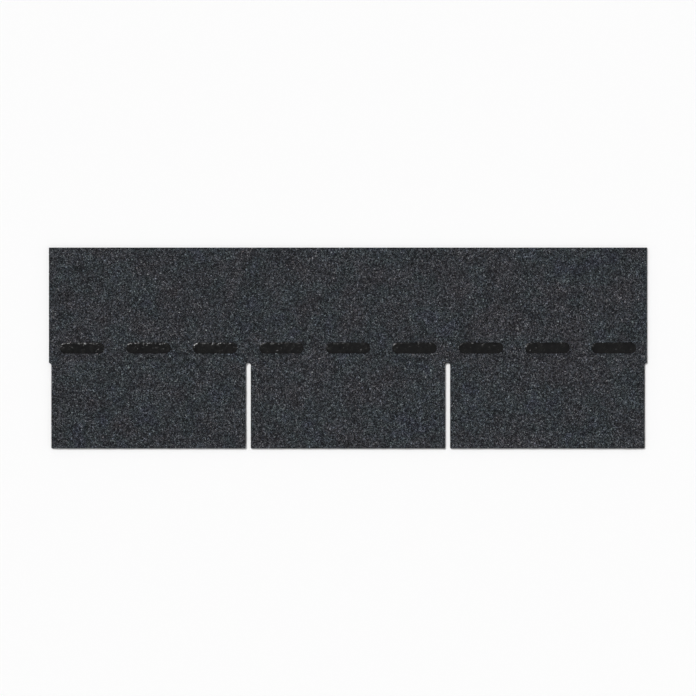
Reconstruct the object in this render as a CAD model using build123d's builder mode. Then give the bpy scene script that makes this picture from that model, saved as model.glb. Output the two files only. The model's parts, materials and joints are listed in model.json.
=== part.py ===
from build123d import *
import os

# A three-tab asphalt shingle, lying face up as it goes on the roof deck.
# X runs along the course, Y up the slope of the roof and Z out of the roof.
# The origin is under the middle of the strip. Sizes are in millimetres.

# The strip is cut from one web of glass mat coated with bitumen on both sides.
strip_length = 1000.0
strip_height = 336.0
strip_thickness = 3.0

# Cut-outs with round tops part the tabs. Each end of the strip has half a cut-out,
# so that two strips laid end to end make a whole one between them.
tab_count = 3
cutout_width = 8.0
cutout_length = 143.0
tab_corner_radius = 2.0

# The next course up covers all of the strip but this much of its tabs.
exposure = 140.0

# Dashes of sealing bitumen hold down the tabs of that next course. Their tops are
# pressed flat in the pack, and a chamfer stands for their rounded rims.
seal_above_next_butt = 28.0
dashes_per_tab = 3
dash_width = 20.0
dash_gap = 35.0
dash_height = 1.0
dash_rim_chamfer = 0.6

# Release film on the back, where the dashes of the next shingle in the pack lie against it.
film_thickness = 0.05
film_margin = 8.0

# Places worked out from the sizes above.
butt_y = -strip_height / 2
tab_pitch = strip_length / tab_count
seal_line_y = butt_y + exposure + seal_above_next_butt
dash_pitch = tab_pitch / dashes_per_tab
dash_length = dash_pitch - dash_gap
film_width = dash_width + 2 * film_margin

os.makedirs("parts", exist_ok=True)


def save(piece, name):
    """Name a finished piece and write it to its own file."""
    piece.label = name
    export_step(piece, f"parts/{name}.step")


# The strip: a die cuts the outline, and the film is pressed flush into its back.
with BuildPart() as strip:
    with BuildSketch() as outline:
        Rectangle(strip_length, strip_height)
        with Locations((0, butt_y)):
            with GridLocations(tab_pitch, 0, tab_count + 1, 1):
                # Centred on the butt edge, so that only its upper half cuts the strip.
                SlotOverall(2 * cutout_length, cutout_width, rotation=90, mode=Mode.SUBTRACT)
        tab_corners = outline.vertices().group_by(Axis.Y)[0]
        fillet(tab_corners, radius=tab_corner_radius)
    extrude(amount=strip_thickness)
    with BuildSketch():
        with Locations((0, seal_line_y)):
            Rectangle(strip_length, film_width)
    extrude(amount=film_thickness, mode=Mode.SUBTRACT)
save(strip.part, "shingle_strip")

# The release film fills its seat in the back of the strip.
with BuildPart() as release_film:
    with BuildSketch():
        with Locations((0, seal_line_y)):
            Rectangle(strip_length, film_width)
    extrude(amount=film_thickness)
save(release_film.part, "release_film")


def seal_dash(centre_x):
    """One dash of sealing bitumen: a low bead with round ends and a flat top."""
    with BuildPart() as dash:
        with BuildSketch(Plane.XY.offset(strip_thickness)):
            with Locations((centre_x, seal_line_y)):
                SlotOverall(dash_length, dash_width)
        extrude(amount=dash_height)
        rim = dash.edges().group_by(Axis.Z)[-1]
        chamfer(rim, length=dash_rim_chamfer)
    return dash.part


# The middle dash of each tab lies under a cut-out of the next course, and the gaps
# over this strip's own cut-outs leave room for the nails.
dash_places = GridLocations(dash_pitch, 0, dashes_per_tab * tab_count, 1)
for number, place in enumerate(dash_places, start=1):
    save(seal_dash(place.position.X), f"seal_dash_{number}")
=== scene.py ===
# %% [markdown]
# A three-tab asphalt shingle, seen square on.
#
# The object is one roofing strip lying on its back: a web of glass mat and bitumen with crushed
# stone pressed into its face, nine dashes of sealing bitumen across the middle, and a strip of
# release film on the back. Its size comes from the CAD frame. This lesson gives each of these its
# real make-up: every large grain of stone is a small mesh, bedded in a thin black sheet.
#
# Everything is in metres, in the frame's own place: X runs along the course, Y up the roof slope
# and Z out of the roof.

# %% Load the frame
import json
import math
import random

import bmesh
import bpy
import numpy as np
from mathutils import Matrix, Vector, noise

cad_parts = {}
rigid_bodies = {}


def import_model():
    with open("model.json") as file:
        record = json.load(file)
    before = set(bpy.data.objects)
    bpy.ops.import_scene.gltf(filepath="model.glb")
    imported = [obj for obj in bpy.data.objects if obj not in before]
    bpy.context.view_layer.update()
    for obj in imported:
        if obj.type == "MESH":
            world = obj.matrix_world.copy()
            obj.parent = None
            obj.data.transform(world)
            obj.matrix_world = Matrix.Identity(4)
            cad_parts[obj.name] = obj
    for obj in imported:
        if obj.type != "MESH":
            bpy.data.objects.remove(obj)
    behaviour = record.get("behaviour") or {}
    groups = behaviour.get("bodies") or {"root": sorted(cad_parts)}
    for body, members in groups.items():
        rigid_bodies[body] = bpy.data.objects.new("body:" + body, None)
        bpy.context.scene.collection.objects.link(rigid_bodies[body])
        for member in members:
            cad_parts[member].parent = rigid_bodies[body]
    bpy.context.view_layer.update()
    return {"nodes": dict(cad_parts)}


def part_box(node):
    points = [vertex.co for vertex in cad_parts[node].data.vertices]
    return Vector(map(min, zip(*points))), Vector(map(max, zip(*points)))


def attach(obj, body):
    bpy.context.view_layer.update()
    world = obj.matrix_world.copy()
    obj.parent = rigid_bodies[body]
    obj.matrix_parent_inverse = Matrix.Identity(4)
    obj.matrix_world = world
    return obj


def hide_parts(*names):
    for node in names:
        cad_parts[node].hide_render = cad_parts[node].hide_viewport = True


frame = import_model()

# %% [markdown]
# The driving sizes. The strip's outline comes from its CAD node. The cut-outs are holes in that
# node, which a box can't tell, so their sizes are named again here. Millimetres are easier to
# read on a sheet this thin, so a size is written as a count of them.
#
# The bitumen stops short of the CAD face at the top, because the stone fills the rest, and at the
# back, so that the release film lies just proud of it.

# %% Driving sizes
MM = 0.001

strip_low, strip_high = (Vector(corner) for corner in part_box("shingle_strip"))
strip_length = strip_high.x - strip_low.x
butt_y, head_y = strip_low.y, strip_high.y
face_z = strip_high.z

TAB_COUNT = 3
tab_pitch = strip_length / TAB_COUNT
CUTOUT_WIDTH = 8 * MM
CUTOUT_LENGTH = 143 * MM
TAB_CORNER_RADIUS = 2 * MM
cutout_arc_y = butt_y + CUTOUT_LENGTH - CUTOUT_WIDTH / 2

BITUMEN_TOP = face_z - 0.60 * MM
BACK_Z = 0.06 * MM
print("tab pitch", round(tab_pitch, 4), "bitumen from", BACK_Z, "to", round(BITUMEN_TOP, 5))

# %% [markdown]
# The camera comes first, because it decides how much every later detail matters. The strip is
# seen from straight above with its tabs down, as on a roof seen square on. A long lens keeps the
# sheet free of perspective. The picture is 1163 mm wide at the strip, so a pixel is 1.67 mm.

# %% Camera
PICTURE_WIDTH = 1163 * MM
LENS = 85.0
SENSOR = 36.0

camera_data = bpy.data.cameras.new("camera")
camera_data.lens = LENS
camera_data.sensor_width = SENSOR
camera = bpy.data.objects.new("camera", camera_data)
camera.location = (0, 0, face_z + PICTURE_WIDTH * LENS / SENSOR)
bpy.context.collection.objects.link(camera)
bpy.context.scene.camera = camera
bpy.context.scene.view_settings.view_transform = "Standard"
print("camera height", round(camera.location.z, 3))

# %% [markdown]
# The light is that of a plain studio. The key comes from the upper left, 45 degrees up, so each
# grain has a lit and a shaded side and the cut edges cast short shadows to the lower right. A weak
# fill opens those shadows. Area lamps would be the usual choice, but a metre-long sheet would lie
# nearer to them at one end. A sun lamp with a wide angle is as soft, and lights it evenly.

# %% Lamps
KEY_SHARE, FILL_SHARE = 0.62, 0.08


def soft_lamp(name, azimuth, elevation, angle, share):
    """A wide distant lamp that gives the floor this share of the light that renders white as white."""
    data = bpy.data.lights.new(name, "SUN")
    data.angle = math.radians(angle)
    data.energy = share * math.pi / math.sin(math.radians(elevation))
    lamp = bpy.data.objects.new(name, data)
    lamp.rotation_euler = (math.radians(90 - elevation), 0, math.radians(90 + azimuth))
    bpy.context.collection.objects.link(lamp)
    return lamp


for lamp in (soft_lamp("key_lamp", azimuth=130, elevation=45, angle=18, share=KEY_SHARE),
             soft_lamp("fill_lamp", azimuth=-40, elevation=60, angle=80, share=FILL_SHARE)):
    print(lamp.name, "strength", round(lamp.data.energy, 3))

# %% [markdown]
# The world is the room round the object. It could be one plain grey, but glossy bitumen would then
# mirror that grey wherever it faces. Here it is white at the horizon and darker overhead, like a
# pale room with a high ceiling, so bitumen that faces up stays dark. With the lamps it adds up to
# the light in which a colour renders about as it is written.

# %% World
HORIZON_STRENGTH = 1.0
ZENITH_STRENGTH = 0.15
WALL_TOP, CEILING_EDGE = 0.2, 0.6

world = bpy.data.worlds.new("pale_room")
bpy.context.scene.world = world
world.use_nodes = True
nodes, links = world.node_tree.nodes, world.node_tree.links
background = nodes["Background"]
direction = nodes.new("ShaderNodeTexCoord")
height = nodes.new("ShaderNodeSeparateXYZ")
room = nodes.new("ShaderNodeMapRange")
room.inputs["From Min"].default_value = WALL_TOP
room.inputs["From Max"].default_value = CEILING_EDGE
room.inputs["To Min"].default_value = HORIZON_STRENGTH
room.inputs["To Max"].default_value = ZENITH_STRENGTH
links.new(direction.outputs["Generated"], height.inputs["Vector"])
links.new(height.outputs["Z"], room.inputs["Value"])
links.new(room.outputs["Result"], background.inputs["Strength"])
background.inputs["Color"].default_value = (1, 1, 1, 1)
print("world", HORIZON_STRENGTH, "at the horizon and", ZENITH_STRENGTH, "overhead")

# %% [markdown]
# The floor is one large matt white sheet, a little below the strip so that the two never flicker
# against each other. It fills the picture, so it is the background too, and it keeps the strip's
# shadow. It has no gloss, because a shine would show as a grey patch in low views.

# %% Floor
FLOOR_SIZE = 60.0
FLOOR_DROP = 0.1 * MM
FLOOR_WHITE = 0.98


def finished(bm, name):
    """The mesh that a finished bmesh holds."""
    mesh = bpy.data.meshes.new(name)
    bm.to_mesh(mesh)
    bm.free()
    return mesh


floor_bm = bmesh.new()
bmesh.ops.create_grid(floor_bm, x_segments=1, y_segments=1, size=FLOOR_SIZE / 2)
bmesh.ops.translate(floor_bm, verts=floor_bm.verts, vec=(0, 0, -FLOOR_DROP))
floor = bpy.data.objects.new("floor", finished(floor_bm, "floor"))
bpy.context.collection.objects.link(floor)

floor_material = bpy.data.materials.new("pale_floor")
floor_material.use_nodes = True
floor_shader = floor_material.node_tree.nodes["Principled BSDF"]
floor_shader.inputs["Base Color"].default_value = (FLOOR_WHITE, FLOOR_WHITE, FLOOR_WHITE, 1)
floor_shader.inputs["Roughness"].default_value = 0.9
floor_shader.inputs["Specular IOR Level"].default_value = 0.0
floor.data.materials.append(floor_material)
print("floor", FLOOR_SIZE, "m wide")

# %% [markdown]
# Materials and the scatter of the stone are both trees of nodes. Made by hand, each node takes
# several lines, so a small class adds one and joins it in a single call.

# %% Node helper
class NodeTree:
    """A tree whose nodes are added one by one and joined by name."""

    def __init__(self, tree):
        self.tree = tree

    def feed(self, socket, value):
        """Joins another node's output to a socket, or writes a constant on it."""
        if isinstance(value, bpy.types.NodeSocket):
            self.tree.links.new(value, socket)
        else:
            socket.default_value = value

    def node(self, kind, inputs=(), **settings):
        """A new node: settings are its own, and inputs are constants or other nodes' outputs."""
        made = self.tree.nodes.new(kind)
        for name, value in settings.items():
            setattr(made, name, value)
        for name, value in dict(inputs).items():
            self.feed(made.inputs[name], value)
        return made

    def math(self, operation, first, second=0.0):
        """One step of arithmetic."""
        return self.node("ShaderNodeMath", {0: first, 1: second}, operation=operation).outputs[0]

# %% [markdown]
# Each finish takes its pattern from Object coordinates. Every piece lies at the origin, so these
# are real metres, and a size in a pattern is a size on the strip. Image textures would need a
# picture of real stone, and would repeat.

# %% Finish helper
class Finish(NodeTree):
    """A material made of patterns in real metres."""

    def __init__(self, name):
        self.material = bpy.data.materials.new(name)
        self.material.use_nodes = True
        super().__init__(self.material.node_tree)
        self.shader = self.tree.nodes["Principled BSDF"]
        self.place = self.node("ShaderNodeTexCoord").outputs["Object"]

    def noise(self, size, detail=2.0, roughness=0.5, seed=0.0):
        """Smooth noise whose lumps are about this size, from 0 to 1."""
        inputs = {"Vector": self.place, "W": seed, "Scale": 1 / size, "Detail": detail,
                  "Roughness": roughness}
        return self.node("ShaderNodeTexNoise", inputs, noise_dimensions="4D").outputs["Fac"]

    def streaks(self, size, squeeze, roughness=0.5):
        """Noise of this size across the strip, drawn out along it as X is squeezed."""
        along = self.node("ShaderNodeMapping", {"Vector": self.place, "Scale": (squeeze, 1.0, 1.0)})
        inputs = {"Vector": along.outputs[0], "Scale": 1 / size, "Detail": 4.0,
                  "Roughness": roughness}
        return self.node("ShaderNodeTexNoise", inputs).outputs["Fac"]

    def cells(self, size, feature="F1", output="Distance"):
        """Crushed cells of about this size."""
        inputs = {"Vector": self.place, "Scale": 1 / size}
        return self.node("ShaderNodeTexVoronoi", inputs, feature=feature).outputs[output]

    def cell_chance(self, size):
        """A random number for each of those cells."""
        inputs = {"Color": self.cells(size, output="Color")}
        return self.node("ShaderNodeSeparateColor", inputs).outputs["Red"]

    def span(self, value, low, high, to_low=0.0, to_high=1.0, curve="LINEAR"):
        """Stretches a value from one range to another, and clamps it."""
        inputs = {"Value": value, "From Min": low, "From Max": high, "To Min": to_low,
                  "To Max": to_high}
        return self.node("ShaderNodeMapRange", inputs, interpolation_type=curve).outputs["Result"]

    def ramp(self, factor, stops):
        """Colours at given places along a factor."""
        made = self.node("ShaderNodeValToRGB", {"Fac": factor})
        elements = made.color_ramp.elements
        while len(elements) < len(stops):
            elements.new(0.5)
        for element, (position, colour) in zip(elements, stops):
            element.position = position
            element.color = (*colour, 1)
        return made.outputs["Color"]

    def blend(self, factor, first, second, kind="MIX"):
        """Mixes two colours. The Mix node has its colour sockets at 6 and 7."""
        made = self.node("ShaderNodeMix", {0: factor}, data_type="RGBA", blend_type=kind)
        for socket, value in ((6, first), (7, second)):
            self.feed(made.inputs[socket], (*value, 1) if isinstance(value, tuple) else value)
        return made.outputs[2]

    def bump(self, height, depth, before=None):
        """Tilts the surface as relief of this depth in metres would."""
        inputs = {"Height": height, "Distance": depth, "Strength": 1.0}
        if before is not None:
            inputs["Normal"] = before
        return self.node("ShaderNodeBump", inputs).outputs["Normal"]

    def set(self, **inputs):
        """Sets or joins the shader's own inputs, named with _ for a space."""
        for name, value in inputs.items():
            self.feed(self.shader.inputs[name.replace("_", " ")], value)
        return self.material

# %% [markdown]
# A finished mesh becomes a piece of the object in the same way each time: it is linked to the
# scene and rides on the strip's one body.

# %% Piece helpers
def ride(mesh, name):
    """A piece of the object, made from a finished mesh."""
    piece = bpy.data.objects.new(name, mesh)
    bpy.context.collection.objects.link(piece)
    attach(piece, "root")
    print(name, len(mesh.polygons), "faces")
    return piece


def verts_of(geometry):
    """The vertices in what an operator returns."""
    return [item for item in geometry if isinstance(item, bmesh.types.BMVert)]


def everything(bm):
    """All that a mesh holds, as most operators want it."""
    return bm.verts[:] + bm.edges[:] + bm.faces[:]

# %% [markdown]
# The outline. A die cuts the strip, and its pattern repeats with each tab, so half a tab is
# enough to draw. It could be a list of points, but the round top of the cut-out is an arc, and a
# spin makes that exactly: one vertex is turned a quarter circle round the cut-out's centre. The
# path then goes down the tab's side, round the corner and along the butt edge, and its last
# stretch closes it over the head lap. A mirror and two copies make the strip of it.
#
# A margin keeps the path away from the true edge. The bitumen uses none, and the ground for the
# stone uses one, because a die knocks off the grains that lie right on its cut.

# %% Half a tab
ARC_STEPS = 8
CORNER_STEPS = 4
SAME_PLACE = 1e-6


def grow(bm, vert, place):
    """Extrudes an edge from a vertex to a place, and returns the new vertex."""
    made = bmesh.ops.extrude_vert_indiv(bm, verts=[vert])["verts"][0]
    made.co = place
    return made


def half_tab(margin):
    """The right half of a tab as one flat face at z = 0, with its middle on X = 0."""
    bm = bmesh.new()
    centre = Vector((tab_pitch / 2, cutout_arc_y, 0))
    low, high = butt_y + margin, head_y - margin
    top = bm.verts.new(centre + Vector((0, CUTOUT_WIDTH / 2 + margin, 0)))
    arc = bmesh.ops.spin(bm, geom=[top], cent=centre, axis=(0, 0, 1), angle=math.pi / 2,
                         steps=ARC_STEPS)
    side = verts_of(arc["geom_last"])[0]
    corner = grow(bm, side, (side.co.x, low, 0))
    middle = grow(bm, corner, (0, low, 0))
    far = grow(bm, middle, (0, high, 0))
    far = grow(bm, far, (tab_pitch / 2, high, 0))
    bm.edges.new((far, top))
    bmesh.ops.bevel(bm, geom=[corner], offset=TAB_CORNER_RADIUS, segments=CORNER_STEPS, profile=0.5,
                    affect="VERTICES", offset_type="OFFSET", material=-1)
    bmesh.ops.contextual_create(bm, geom=bm.edges)
    return bm


trial = half_tab(0.0)
print("half a tab has", len(trial.verts), "corners")
trial.free()

# %% Outline of the strip
def cut(bm, place, normal, **sides):
    """Cuts all of a mesh with a plane."""
    return bmesh.ops.bisect_plane(bm, geom=everything(bm), plane_co=place, plane_no=normal, dist=1e-7,
                                  **sides)


def strip_outline(margin=0.0):
    """The strip's outline as flat faces at z = 0, one for each half tab, drawn in by a margin."""
    bm = half_tab(margin)
    bmesh.ops.mirror(bm, geom=everything(bm), axis="X", merge_dist=SAME_PLACE)
    one_tab = everything(bm)
    for step in range(1, TAB_COUNT):
        copy = bmesh.ops.duplicate(bm, geom=one_tab)["geom"]
        bmesh.ops.translate(bm, verts=verts_of(copy), vec=(step * tab_pitch, 0, 0))
    bmesh.ops.translate(bm, verts=bm.verts, vec=(-(TAB_COUNT - 1) / 2 * tab_pitch, 0, 0))
    bmesh.ops.remove_doubles(bm, verts=bm.verts, dist=SAME_PLACE)
    for sign in (-1, 1):
        cut(bm, (sign * (strip_length / 2 - margin), 0, 0), (sign, 0, 0), clear_outer=True)
    bmesh.ops.recalc_face_normals(bm, faces=bm.faces)
    if bm.faces[:][0].normal.z < 0:
        bmesh.ops.reverse_faces(bm, faces=bm.faces)
    return bm


trial = strip_outline()
area = sum(face.calc_area() for face in trial.faces)
print("outline", round(area, 6), "m2 in", len(trial.faces), "faces")
trial.free()

# %% [markdown]
# The bitumen sheet. The outline is extruded to the sheet's thickness and its upper rim gets a small
# round, because soft bitumen gives under the die. A net of cuts then divides it, so that the sheet
# can be uneven: a rolled web is never quite flat, and a cut through stone-filled bitumen wanders.
# Boolean cutters would do the same work, but they leave long thin faces that can't bend.

# %% Net and unevenness
NET = 6 * MM


def uneven(place, size, seed):
    """Smooth noise between -1 and 1, with lumps of about a given size."""
    return noise.noise(Vector((place.x / size, place.y / size, place.z / size + seed)))


def net_of_cuts(bm, pitch):
    """Divides a mesh by planes across X and Y."""
    for axis, (low, high) in enumerate(((strip_low.x, strip_high.x), (butt_y, head_y))):
        normal = Vector((0, 0, 0))
        normal[axis] = 1
        count = round((high - low) / pitch)
        for step in range(1, count):
            cut(bm, normal * (low + step * (high - low) / count), normal)


print("net of", round(strip_length / NET), "by", round((head_y - butt_y) / NET), "fields")

# %% Bitumen sheet
RIM_ROUND = 0.25 * MM
WAVE_HEIGHT, WAVE_SIZE = 0.10 * MM, 45 * MM
EDGE_WANDER, WANDER_SIZE = 0.22 * MM, 6 * MM
AT_THE_EDGE = 0.3


def bitumen_sheet():
    """The web of mat and bitumen, as a closed mesh with a rounded upper rim."""
    bm = strip_outline()
    bmesh.ops.dissolve_faces(bm, faces=bm.faces)
    bmesh.ops.translate(bm, verts=bm.verts, vec=(0, 0, BACK_Z))
    top = bmesh.ops.extrude_face_region(bm, geom=bm.faces[:], use_keep_orig=True)["geom"]
    bmesh.ops.translate(bm, verts=verts_of(top), vec=(0, 0, BITUMEN_TOP - BACK_Z))
    bmesh.ops.recalc_face_normals(bm, faces=bm.faces)
    at_top = BITUMEN_TOP - SAME_PLACE
    rim = [edge for edge in bm.edges if all(vert.co.z > at_top for vert in edge.verts)]
    bmesh.ops.bevel(bm, geom=rim, offset=RIM_ROUND, segments=2, profile=0.5, affect="EDGES",
                    material=-1)
    net_of_cuts(bm, NET)
    bmesh.ops.triangulate(bm, faces=[face for face in bm.faces if len(face.verts) > 4])

    bm.normal_update()
    for vert in bm.verts:
        outward = Vector((vert.normal.x, vert.normal.y, 0))
        if outward.length > AT_THE_EDGE:
            inward = 0.5 + 0.5 * uneven(vert.co, WANDER_SIZE, 4.0)
            vert.co -= outward.normalized() * EDGE_WANDER * inward
        if vert.co.z > at_top:
            vert.co.z += WAVE_HEIGHT * uneven(vert.co, WAVE_SIZE, 9.0)
    return bm


sheet_bm = bitumen_sheet()
TOP, EDGE, BACK = 0, 1, 2
for face in sheet_bm.faces:
    face.material_index = TOP if face.normal.z > 0.5 else BACK if face.normal.z < -0.5 else EDGE
sheet = ride(finished(sheet_bm, "bitumen_sheet"), "bitumen_sheet")
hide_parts("shingle_strip")

# %% [markdown]
# The face between the large grains is covered too: the smallest chips fall in the gaps and stick
# there, with lines of black bitumen round them. They are far too many for meshes, so crushed cells
# stand for them, each in its own tone.
#
# The tones run from near black to a few pale flecks, which is what makes the speckle. On top of
# them, patches a few millimetres wide are lighter or darker, because the mix falls in clumps, and
# wide drifts lean to blue, green or a warm grey. The large grains take all of this too.

# %% Finish between the grains
STONE_TONES = [(0.0, (0.003, 0.003, 0.004)), (0.1, (0.010, 0.011, 0.013)),
               (0.3, (0.025, 0.027, 0.032)), (0.5, (0.044, 0.047, 0.055)),
               (0.7, (0.077, 0.083, 0.094)), (0.9, (0.150, 0.160, 0.178)), (1.0, (0.29, 0.30, 0.32))]
DRIFT_TINTS = [(0.34, (1.06, 0.98, 0.97)), (0.5, (1.0, 1.0, 1.0)), (0.58, (0.95, 1.03, 1.0)),
               (0.68, (0.96, 0.98, 1.08))]
CLUMP_SIZE, DRIFT_SIZE, TINT_SIZE = 3.4 * MM, 34 * MM, 42 * MM
CHIP_SIZE = 0.95 * MM
CHIP_RELIEF = 0.30 * MM


def mottled(finish, colour):
    """A stone colour with the clumps and drifts in which the mix of stones falls on the web."""
    clumps = finish.span(finish.noise(CLUMP_SIZE, detail=1, seed=5.0), 0.3, 0.7, 0.42, 1.58)
    drift = finish.span(finish.noise(DRIFT_SIZE, detail=3), 0.3, 0.7, 0.90, 1.10)
    both = finish.math("MULTIPLY", clumps, drift)
    grey = finish.node("ShaderNodeCombineColor", {"Red": both, "Green": both, "Blue": both}).outputs[0]
    tint = finish.ramp(finish.noise(TINT_SIZE, detail=2, seed=8.0), DRIFT_TINTS)
    return finish.blend(1.0, finish.blend(1.0, colour, grey, "MULTIPLY"), tint, "MULTIPLY")


def granule_bed():
    """Small chips, each in its own tone, with black bitumen round them."""
    finish = Finish("granule_bed")
    tone = finish.cell_chance(CHIP_SIZE)
    gap = finish.cells(CHIP_SIZE, feature="DISTANCE_TO_EDGE")
    stone = mottled(finish, finish.ramp(tone, STONE_TONES))
    colour = finish.blend(finish.span(gap, 0.04, 0.12), (0.002, 0.002, 0.0022), stone)
    relief = finish.math("ADD", finish.span(gap, 0.02, 0.20), finish.noise(0.7 * MM, detail=1))
    return finish.set(Base_Color=colour, Roughness=0.65, Specular_IOR_Level=0.12,
                      Normal=finish.bump(relief, CHIP_RELIEF))


sheet.data.materials.append(granule_bed())
print("face of the sheet:", sheet.material_slots[TOP].name)

# %% [markdown]
# The cut edge shows the glass mat as a pale, fibrous line between two layers of bitumen. The back
# is dusted with fine sand so that the shingles don't stick together in the pack, and the rollers
# drag the sand into streaks along the web, with the bitumen black where it is thin.

# %% Finishes of the edge and the back
SAND_SIZE = 0.45 * MM
SAND_TONES = [(0.20, (0.010, 0.010, 0.011)), (0.50, (0.030, 0.030, 0.031)),
              (0.85, (0.075, 0.074, 0.071)), (1.0, (0.16, 0.155, 0.145))]
MAT_HALF, MAT_FADE = 0.10 * MM, 0.32 * MM


def cut_edge():
    """Cut bitumen, with the mat's glass fibres as a paler line at the middle of the section."""
    finish = Finish("cut_edge")
    place = finish.node("ShaderNodeSeparateXYZ", {"Vector": finish.place}).outputs["Z"]
    off_mat = finish.math("ABSOLUTE", finish.math("SUBTRACT", place, (BITUMEN_TOP + BACK_Z) / 2))
    fibres = finish.span(finish.noise(0.7 * MM, detail=4), 0.42, 0.6)
    mat = finish.math("MULTIPLY", finish.span(off_mat, MAT_HALF, MAT_FADE, 1.0, 0.0), fibres)
    colour = finish.blend(mat, (0.008, 0.008, 0.009), (0.16, 0.15, 0.13))
    return finish.set(Base_Color=colour, Roughness=finish.span(fibres, 0, 1, 0.45, 0.7),
                      Normal=finish.bump(finish.noise(0.5 * MM, detail=3), 0.15 * MM))


def dusted_back():
    """Bitumen dusted with fine sand, which lies in streaks along the web."""
    finish = Finish("dusted_back")
    streaks = finish.streaks(9 * MM, 0.12, roughness=0.6)
    patches = finish.noise(55 * MM, detail=3, seed=3.0)
    thin = finish.math("ADD", finish.span(streaks, 0.3, 0.7, 0.25, -0.25),
                       finish.span(patches, 0.3, 0.7, 0.08, -0.08))
    cover = finish.math("SUBTRACT", finish.cell_chance(SAND_SIZE), thin)
    relief = finish.math("ADD", finish.cells(SAND_SIZE), streaks)
    return finish.set(Base_Color=finish.ramp(cover, SAND_TONES),
                      Roughness=finish.span(cover, 0.2, 0.9, 0.50, 0.85),
                      Normal=finish.bump(relief, 0.12 * MM))


for material in (cut_edge(), dusted_back()):
    sheet.data.materials.append(material)
print("sheet finishes", [slot.name for slot in sheet.material_slots])

# %% [markdown]
# The stone. A shingle's face is crushed rock with a coloured ceramic coat, one to two millimetres
# across, rolled into hot bitumen until the grains lie shoulder to shoulder. Bump can paint that,
# but real grains give the broken edge, the glints and the small shadows, so here they are meshes.
# A crushed grain has few flat facets: a stub of three or four sides, with its upper end twisted and
# its corners moved, is enough, and with so few faces some ninety thousand of them stay affordable.
# The upper end is a little the smaller, because a rolled grain comes to lie on its broad side.

# %% Shapes of crushed grains
GRAIN_SHAPES = 12
GRAIN_RADIUS = 1.0 * MM
GRAIN_DEPTH = 1.05 * MM
CORNER_SHIFT = 0.24


def crushed_grain(number):
    """One crushed grain round the origin, with a broken face on top."""
    chance = random.Random(number)
    sides = 3 if number % 3 else 4
    bm = bmesh.new()
    bmesh.ops.create_cone(bm, cap_ends=True, segments=sides, depth=GRAIN_DEPTH,
                          radius1=GRAIN_RADIUS * chance.uniform(0.75, 1.05),
                          radius2=GRAIN_RADIUS * chance.uniform(0.60, 0.95))
    upper = [vert for vert in bm.verts if vert.co.z > 0]
    twist = chance.uniform(0.35, 0.95) * math.pi / sides
    bmesh.ops.rotate(bm, verts=upper, matrix=Matrix.Rotation(twist, 3, "Z"))
    for vert in bm.verts:
        vert.co += GRAIN_RADIUS * Vector([chance.uniform(-CORNER_SHIFT, CORNER_SHIFT) for _ in range(3)])
    bmesh.ops.scale(bm, verts=bm.verts, vec=(1.0, chance.uniform(0.70, 0.95), chance.uniform(0.85, 1.1)))
    bmesh.ops.triangulate(bm, faces=bm.faces)
    bmesh.ops.recalc_face_normals(bm, faces=bm.faces)
    return finished(bm, f"grain_{number}")


grain_box = bpy.data.collections.new("grain_shapes")
for number in range(GRAIN_SHAPES):
    shape = crushed_grain(number)
    grain_box.objects.link(bpy.data.objects.new(shape.name, shape))

# %% [markdown]
# Each grain has one colour, from a mix of coated stones: charcoal, slate, a blue, a green and a
# warm grey, and now and then a pale fleck. Two random numbers stored on each grain pick its tone
# and its hue. The coat is matt, so its gloss is weak and only a little grit breaks it up.

# %% Finish of the stone
TONE = "grain_tone"
HUE = "grain_hue"
GRAIN_TINTS = [(0.0, (0.90, 0.98, 1.14)), (0.4, (1.0, 1.0, 1.0)), (0.7, (0.93, 1.04, 0.99)),
               (1.0, (1.10, 0.98, 0.96))]


def coated_stone():
    """Ceramic-coated crushed stone, one colour to a grain."""
    finish = Finish("coated_stone")
    tone = finish.node("ShaderNodeAttribute", attribute_name=TONE).outputs["Fac"]
    hue = finish.node("ShaderNodeAttribute", attribute_name=HUE).outputs["Fac"]
    coat = finish.blend(1.0, finish.ramp(tone, STONE_TONES), finish.ramp(hue, GRAIN_TINTS), "MULTIPLY")
    grit = finish.noise(0.25 * MM, detail=2)
    return finish.set(Base_Color=mottled(finish, coat), Specular_IOR_Level=0.12,
                      Roughness=finish.span(grit, 0.3, 0.7, 0.50, 0.75),
                      Normal=finish.bump(grit, 0.03 * MM))


stone = coated_stone()
for shape in grain_box.objects:
    shape.data.materials.append(stone)
print("grains wear", stone.name)

# %% [markdown]
# The grains stop at the seal dashes, which lie on bare bitumen there and hold down only the first
# of the grains round them. So the size and place of the dashes are read from their CAD nodes now.

# %% Places of the seal dashes
dash_low, dash_high = (Vector(corner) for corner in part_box("seal_dash_1"))
next_low, _ = (Vector(corner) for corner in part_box("seal_dash_2"))
dash_length, dash_width = dash_high.x - dash_low.x, dash_high.y - dash_low.y
dash_pitch = next_low.x - dash_low.x
seal_line_y = (dash_low.y + dash_high.y) / 2
dash_count = round(strip_length / dash_pitch)
dash_half_straight = dash_length / 2 - dash_width / 2
print(dash_count, "dashes of", round(dash_length / MM, 1), "mm, one each", round(dash_pitch / MM, 1), "mm")

# %% [markdown]
# Scattering is work for Geometry Nodes: points are thrown on the ground at no less than a given
# distance from each other, the ones under the seal dashes are taken away, and each of the rest
# gets a grain with its own turn, tilt, size and depth. The instances are then realized, so that
# the stone is plain mesh in the end. One mesh of them all would be too heavy to handle, so the
# face is done in spans, each from the same points, so that no seam shows between two.

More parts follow.
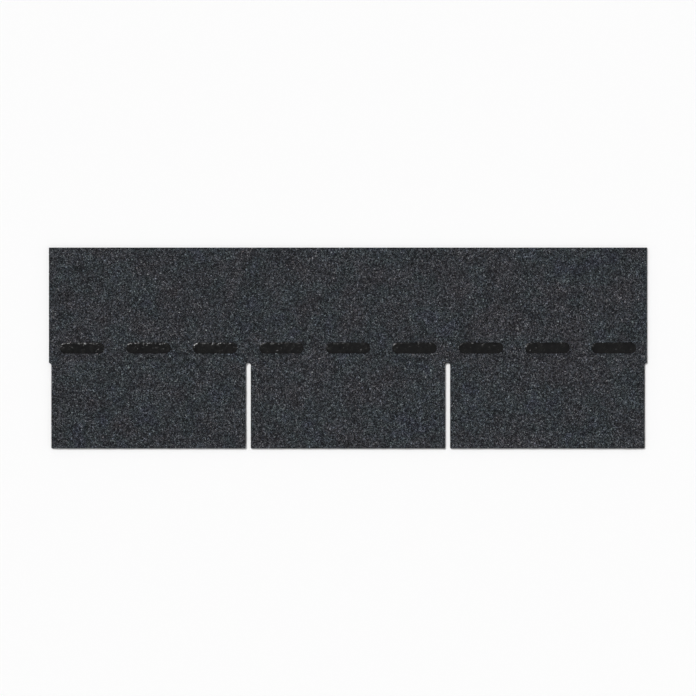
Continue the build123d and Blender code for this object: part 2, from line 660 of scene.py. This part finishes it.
# %% Scatter helper
class Scatter(NodeTree):
    """A Geometry Nodes group that turns a ground into what is strewn on it."""

    def __init__(self, name):
        super().__init__(bpy.data.node_groups.new(name, "GeometryNodeTree"))
        for side in ("INPUT", "OUTPUT"):
            self.tree.interface.new_socket(name="Geometry", in_out=side, socket_type="NodeSocketGeometry")
        self.ground = self.node("NodeGroupInput").outputs[0]
        self.end = self.node("NodeGroupOutput").inputs[0]

    def chance(self, low, high, seed):
        """A random number for each point."""
        inputs = {2: low, 3: high, "Seed": seed}
        return self.node("FunctionNodeRandomValue", inputs, data_type="FLOAT").outputs[1]

    def chances(self, low, high, seed):
        """Three random numbers for each point."""
        inputs = {0: low, 1: high, "Seed": seed}
        return self.node("FunctionNodeRandomValue", inputs, data_type="FLOAT_VECTOR").outputs[0]

    def pick(self, count, seed):
        """A random whole number below a count, for each point."""
        inputs = {4: 0, 5: count - 1, "Seed": seed}
        return self.node("FunctionNodeRandomValue", inputs, data_type="INT").outputs[2]

    def store(self, geometry, name, value):
        """Keeps a number on each instance, which its realized mesh then carries."""
        inputs = {"Geometry": geometry, "Name": name, "Value": value}
        return self.node("GeometryNodeStoreNamedAttribute", inputs, data_type="FLOAT",
                         domain="INSTANCE").outputs[0]


# %% Points of the scatter
GRAIN_DISTANCE = 1.45 * MM
TRIES_PER_M2 = 5e6
UNDER_THE_RIM = 0.8 * MM


def under_a_dash(scatter, x, y):
    """True for a point that a seal dash covers. All dashes are alike, so x is folded into one pitch."""
    steps = scatter.math("ROUND", scatter.math("DIVIDE", x, dash_pitch))
    along = scatter.math("SUBTRACT", x, scatter.math("MULTIPLY", steps, dash_pitch))
    beyond = scatter.math("SUBTRACT", scatter.math("ABSOLUTE", along), dash_half_straight)
    beyond = scatter.math("MAXIMUM", beyond, 0.0)
    across = scatter.math("SUBTRACT", y, seal_line_y)
    square = scatter.math("ADD", scatter.math("MULTIPLY", beyond, beyond),
                          scatter.math("MULTIPLY", across, across))
    return scatter.math("LESS_THAN", scatter.math("SQRT", square), dash_width / 2 - UNDER_THE_RIM)


def strewn_points(scatter, low_x, high_x):
    """Points on the ground between two places along the strip, but none under a dash."""
    inputs = {"Mesh": scatter.ground, "Distance Min": GRAIN_DISTANCE, "Density Max": TRIES_PER_M2,
              "Seed": 11}
    points = scatter.node("GeometryNodeDistributePointsOnFaces", inputs, distribute_method="POISSON")
    place = scatter.node("GeometryNodeInputPosition").outputs[0]
    axes = scatter.node("ShaderNodeSeparateXYZ", {"Vector": place})
    x, y = axes.outputs["X"], axes.outputs["Y"]
    off_span = scatter.math("ADD", scatter.math("LESS_THAN", x, low_x),
                            scatter.math("GREATER_THAN", x, high_x - 1e-9))
    dropped = scatter.math("ADD", off_span, under_a_dash(scatter, x, y))
    inputs = {"Geometry": points.outputs["Points"], "Selection": scatter.math("GREATER_THAN", dropped, 0.5)}
    return scatter.node("GeometryNodeDeleteGeometry", inputs, domain="POINT").outputs[0]


print("grains lie at least", round(GRAIN_DISTANCE / MM, 2), "mm apart")

# %% Grains on the points
SPANS = 5
GRAIN_TILT = math.radians(22)
SMALLEST, LARGEST = 0.70, 1.32
MORE_OF_THE_SMALL = 1.6
SUNK, RAISED = -0.22 * MM, 0.18 * MM


def stone_scatter(name, low_x, high_x):
    """A node group that strews stone between two places along the strip."""
    scatter = Scatter(name)
    inputs = {"Collection": grain_box, "Separate Children": True, "Reset Children": True}
    shapes = scatter.node("GeometryNodeCollectionInfo", inputs).outputs[0]
    turn = scatter.chances((-GRAIN_TILT, -GRAIN_TILT, -math.pi), (GRAIN_TILT, GRAIN_TILT, math.pi), 2)
    spread = scatter.math("POWER", scatter.chance(0.0, 1.0, 3), MORE_OF_THE_SMALL)
    size = scatter.math("ADD", scatter.math("MULTIPLY", spread, LARGEST - SMALLEST), SMALLEST)
    inputs = {"Points": strewn_points(scatter, low_x, high_x), "Instance": shapes, "Pick Instance": True,
              "Instance Index": scatter.pick(GRAIN_SHAPES, 1), "Rotation": turn, "Scale": size}
    grains = scatter.node("GeometryNodeInstanceOnPoints", inputs).outputs[0]
    inputs = {"Instances": grains, "Translation": scatter.chances((0, 0, SUNK), (0, 0, RAISED), 4),
              "Local Space": False}
    grains = scatter.node("GeometryNodeTranslateInstances", inputs).outputs[0]
    grains = scatter.store(grains, TONE, scatter.chance(0.0, 1.0, 5))
    grains = scatter.store(grains, HUE, scatter.chance(0.0, 1.0, 6))
    realized = scatter.node("GeometryNodeRealizeInstances", {"Geometry": grains}).outputs[0]
    scatter.feed(scatter.end, realized)
    return scatter.tree


print("grains measure", round(2 * SMALLEST * GRAIN_RADIUS / MM, 2), "to",
      round(2 * LARGEST * GRAIN_RADIUS / MM, 2), "mm")

# %% [markdown]
# A die shears through the stone as it cuts the strip, and the roller presses the highest grains
# down. Both would be hard to do in the scatter, which knows only where the middle of a grain lies.
# On the finished mesh they are simple: each corner that is past the cut or too high is put back on
# it, for all corners at once.
#
# The stone also gets a UV map, through which its material can be painted on a picture. One that
# unwraps each of the many small facets would leave them less than a pixel each. Seen from above,
# each grain keeps its place on the picture, and leaning the map a little by the height gives
# upright facets some width on it too.

# %% Shear and map
SHEARED = 0.10 * MM
ROLLED_TOP = face_z + 0.40 * MM
MAP_LEAN = 0.35


def sheared(mesh):
    """Moves each corner that is past the cut or too high back, and returns the corners' places."""
    places = np.empty(3 * len(mesh.vertices), np.float32)
    mesh.vertices.foreach_get("co", places)
    places = places.reshape(-1, 3)
    end = strip_length / 2 - SHEARED
    places[:, 0] = places[:, 0].clip(-end, end)
    places[:, 1] = places[:, 1].clip(butt_y + SHEARED, head_y - SHEARED)
    places[:, 2] = places[:, 2].clip(None, ROLLED_TOP)
    radius = CUTOUT_WIDTH / 2 + SHEARED
    for number in range(TAB_COUNT + 1):
        off = places[:, :2] - ((number - TAB_COUNT / 2) * tab_pitch, cutout_arc_y)
        off[:, 1] = off[:, 1].clip(0, None)
        reach = np.hypot(off[:, 0], off[:, 1])
        inside = reach < radius
        places[inside, :2] += off[inside] * (radius / reach[inside].clip(1e-6, None) - 1)[:, None]
    mesh.vertices.foreach_set("co", places.ravel())
    return places


def lay_map(mesh, places, low, high):
    """A UV map seen from above, between two corners of the ground."""
    corners = np.empty(len(mesh.loops), np.int32)
    mesh.loops.foreach_get("vertex_index", corners)
    flat = places[:, :2] + places[:, 2:] * (MAP_LEAN, MAP_LEAN)
    flat = (flat - low) / (np.array(high) - low)
    layer = mesh.uv_layers.new(name="OFBake")
    layer.uv.foreach_set("vector", flat[corners].astype(np.float32).ravel())


print("stone ends", round(SHEARED / MM, 2), "mm inside the cut, and below", round(ROLLED_TOP / MM, 2), "mm")

# %% [markdown]
# Now the stone is strewn, span by span. The ground is the strip's outline again, a little smaller
# and just above the bitumen, and it is only there to throw points on, so it goes in the end.

# %% Stone
STONE_MARGIN = 0.35 * MM
GROUND_LIFT = 0.10 * MM
MAP_BORDER = 2 * MM

ground_bm = strip_outline(STONE_MARGIN)
bmesh.ops.translate(ground_bm, verts=ground_bm.verts, vec=(0, 0, BITUMEN_TOP + GROUND_LIFT))
ground = bpy.data.objects.new("ground", finished(ground_bm, "ground"))
bpy.context.collection.objects.link(ground)
strew = ground.modifiers.new("strew", "NODES")

span_length = strip_length / SPANS
for number in range(SPANS):
    low_x = strip_low.x + number * span_length
    high_x = low_x + span_length
    strew.node_group = stone_scatter(f"stone_scatter_{number + 1}", low_x, high_x)
    realized = ground.evaluated_get(bpy.context.evaluated_depsgraph_get())
    mesh = bpy.data.meshes.new_from_object(realized)
    places = sheared(mesh)
    lay_map(mesh, places, (low_x - MAP_BORDER, butt_y - MAP_BORDER),
            (high_x + MAP_BORDER, head_y + MAP_BORDER))
    stones = ride(mesh, f"granules_{number + 1}")
    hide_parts("shingle_strip")
    print("  from", round(places[:, 2].min() / MM, 2), "to", round(places[:, 2].max() / MM, 2), "mm high")

bpy.data.objects.remove(ground)
for shape in list(grain_box.objects):
    bpy.data.objects.remove(shape)
bpy.data.collections.remove(grain_box)

# %% [markdown]
# The seal dashes. Hot bitumen is laid in short beads by a wheel, slumps a little, and sets with a
# smooth skin. Half a bead is enough to model: a section is spun through half a circle for the round
# end, its two legs are extruded along the straight, and a mirror gives the other half. A cylinder
# with round ends would be quicker, but its top would be round, and a bead in a pack is pressed flat.

# %% Half a bead
SECTION = [(0.0, 0.97), (0.20, 0.99), (0.40, 1.0), (0.58, 0.98), (0.70, 0.92), (0.79, 0.81), (0.87, 0.66),
           (0.94, 0.45), (0.99, 0.20), (0.98, 0.0)]
END_STEPS = 16
STRAIGHT_STEP = 1.9 * MM
bead_half_width = dash_width / 2 - 0.5 * MM


def edges_of(geometry):
    """The edges in what an operator returns."""
    return [item for item in geometry if isinstance(item, bmesh.types.BMEdge)]


def bead_half():
    """The right half of a bead with its middle at the origin, its foot at z = 0, and a height of 1."""
    bm = bmesh.new()
    verts = [bm.verts.new((dash_half_straight, -share * bead_half_width, height))
             for share, height in SECTION]
    edges = [bm.edges.new(pair) for pair in zip(verts, verts[1:])]
    spun = bmesh.ops.spin(bm, geom=verts + edges, cent=(dash_half_straight, 0, 0), axis=(0, 0, 1),
                          angle=math.pi, steps=END_STEPS, use_merge=False)
    legs = edges + edges_of(spun["geom_last"])
    steps = round(dash_half_straight / STRAIGHT_STEP)
    for _ in range(steps):
        made = bmesh.ops.extrude_edge_only(bm, edges=legs)["geom"]
        bmesh.ops.translate(bm, verts=verts_of(made), vec=(-dash_half_straight / steps, 0, 0))
        legs = [edge for edge in edges_of(made) if abs(edge.verts[0].co.x - edge.verts[1].co.x) < 1e-7]
    bmesh.ops.remove_doubles(bm, verts=bm.verts, dist=SAME_PLACE)
    return bm


trial = bead_half()
print("half a bead", len(trial.faces), "faces")
trial.free()

# %% [markdown]
# Noise then makes each of the nine its own: the rim wanders, and the height sinks and swells, but
# never past the height that the pack presses it to. Its foot lies in the bitumen sheet.

# %% Whole bead
BEAD_FOOT = BITUMEN_TOP - 0.1 * MM
bead_height = dash_high.z - 0.06 * MM - BEAD_FOOT
BEAD_APART = 7.3


def seal_bead(number, centre):
    """One bead of sealing bitumen, with its own uneven rim and skin."""
    bm = bead_half()
    bmesh.ops.mirror(bm, geom=everything(bm), axis="X", merge_dist=SAME_PLACE)
    bmesh.ops.remove_doubles(bm, verts=bm.verts, dist=SAME_PLACE)
    bmesh.ops.contextual_create(bm, geom=[edge for edge in bm.edges if edge.is_boundary])
    bmesh.ops.recalc_face_normals(bm, faces=bm.faces)
    for vert in bm.verts:
        flat = Vector((vert.co.x + BEAD_APART * number, vert.co.y, 0))
        reach = 1 + 0.055 * uneven(flat, 9 * MM, 1.0) + 0.03 * uneven(flat, 3.5 * MM, 2.0)
        swell = 0.90 + 0.08 * uneven(flat, 14 * MM, 3.0) + 0.26 * uneven(flat, 6.2 * MM, 5.0)
        vert.co = Vector((vert.co.x + 0.5 * MM * uneven(flat, 8 * MM, 6.0), vert.co.y * reach,
                          BEAD_FOOT + bead_height * vert.co.z * min(swell, 1.0)))
    bmesh.ops.translate(bm, verts=bm.verts, vec=(centre.x, centre.y, 0))
    return bm


trial = seal_bead(1, Vector())
print("a bead", len(trial.faces), "faces,", round(bead_height / MM, 2), "mm high")
trial.free()

# %% [markdown]
# Sealing bitumen is black and glossy, with a skin that has wrinkled as it cooled. Lumps of a few
# millimetres break its gloss into small glints, which is how it shows in the photo, and a few
# blisters stand where air came out.

# %% Finish of the seal dashes
LUMP_SIZE, LUMP_RELIEF = 5.0 * MM, 1.3 * MM
WRINKLE_SIZE, WRINKLE_RELIEF = 1.8 * MM, 0.34 * MM
BLISTER_STEP, BLISTER_RELIEF = 5 * MM, 0.36 * MM


def sealing_bitumen():
    """Bitumen that has set with a wrinkled, glossy skin."""
    finish = Finish("sealing_bitumen")
    haze = finish.noise(7 * MM, detail=3, seed=2.0)
    colour = finish.ramp(haze, [(0.35, (0.0025, 0.0025, 0.003)), (0.7, (0.006, 0.006, 0.0058))])
    some = finish.span(finish.cell_chance(BLISTER_STEP), 0.55, 0.8)
    dome = finish.span(finish.cells(BLISTER_STEP), 0.0, 0.30, 1.0, 0.0, curve="SMOOTHSTEP")
    skin = finish.bump(finish.noise(LUMP_SIZE, detail=1.0, seed=1.0), LUMP_RELIEF)
    skin = finish.bump(finish.math("MULTIPLY", dome, some), BLISTER_RELIEF, before=skin)
    skin = finish.bump(finish.noise(WRINKLE_SIZE, detail=1.5), WRINKLE_RELIEF, before=skin)
    return finish.set(Base_Color=colour, Roughness=finish.span(haze, 0.35, 0.7, 0.17, 0.32),
                      Specular_IOR_Level=0.32, Normal=skin)


seal_finish = sealing_bitumen()
print("beads wear", seal_finish.name)

# %% Seal dashes
for number in range(1, dash_count + 1):
    node = f"seal_dash_{number}"
    low, high = (Vector(corner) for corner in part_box(node))
    name = f"seal_bead_{number}"
    bead = ride(finished(seal_bead(number, (low + high) / 2), name), name)
    bead.data.materials.append(seal_finish)
    for face in bead.data.polygons:
        face.use_smooth = True
    smooth = bead.modifiers.new("smooth", "SUBSURF")
    smooth.levels = smooth.render_levels = 1
    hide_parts(node)

# %% [markdown]
# The release film keeps its CAD shape, a flat strip let into the back, and gets a finish of its
# own: thin plastic that has taken the bitumen's small unevenness, with fine creases along it.

# %% Release film
def release_film():
    """Thin plastic film, lightly creased along the strip."""
    finish = Finish("release_film")
    creases = finish.streaks(5 * MM, 0.25)
    colour = finish.ramp(creases, [(0.3, (0.045, 0.047, 0.05)), (0.7, (0.075, 0.077, 0.08))])
    return finish.set(Base_Color=colour, Roughness=finish.span(creases, 0.3, 0.7, 0.22, 0.38),
                      Normal=finish.bump(creases, 0.10 * MM))


film = frame["nodes"]["release_film"]
film.data.materials.clear()
film.data.materials.append(release_film())
print("film wears", film.material_slots[0].name)
